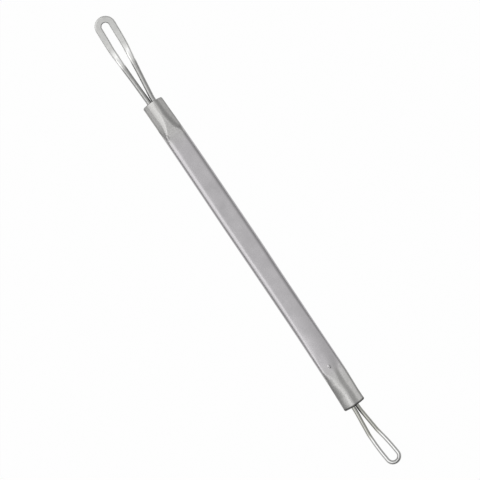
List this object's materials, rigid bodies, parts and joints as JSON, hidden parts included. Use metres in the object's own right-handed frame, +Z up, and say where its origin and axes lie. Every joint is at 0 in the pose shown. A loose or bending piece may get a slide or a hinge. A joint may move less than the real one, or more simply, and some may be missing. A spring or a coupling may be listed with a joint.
{
  "type": "blackhead extractor",
  "caption": "Slim skin-care hand tool: a flattened steel tube handle with a wide hammered wire loop crimped into one end and a narrow round wire loop into the other.",
  "frame": {"origin": "middle of the handle's flat underside, on which the tool rests", "axes": "+X along the handle towards the narrow loop, +Y across the handle, +Z up, the way both loops bend"},
  "size_m": [0.1242, 0.0067, 0.004],
  "materials": {
    "tube_steel": "satin, with fine lengthwise wear",
    "band_steel": "half polished",
    "wire_steel": "polished"
  },
  "bodies": {
    "root": {"handle": "tube_steel", "wide_loop": "band_steel", "narrow_loop": "wire_steel"}
  },
  "joints": []
}
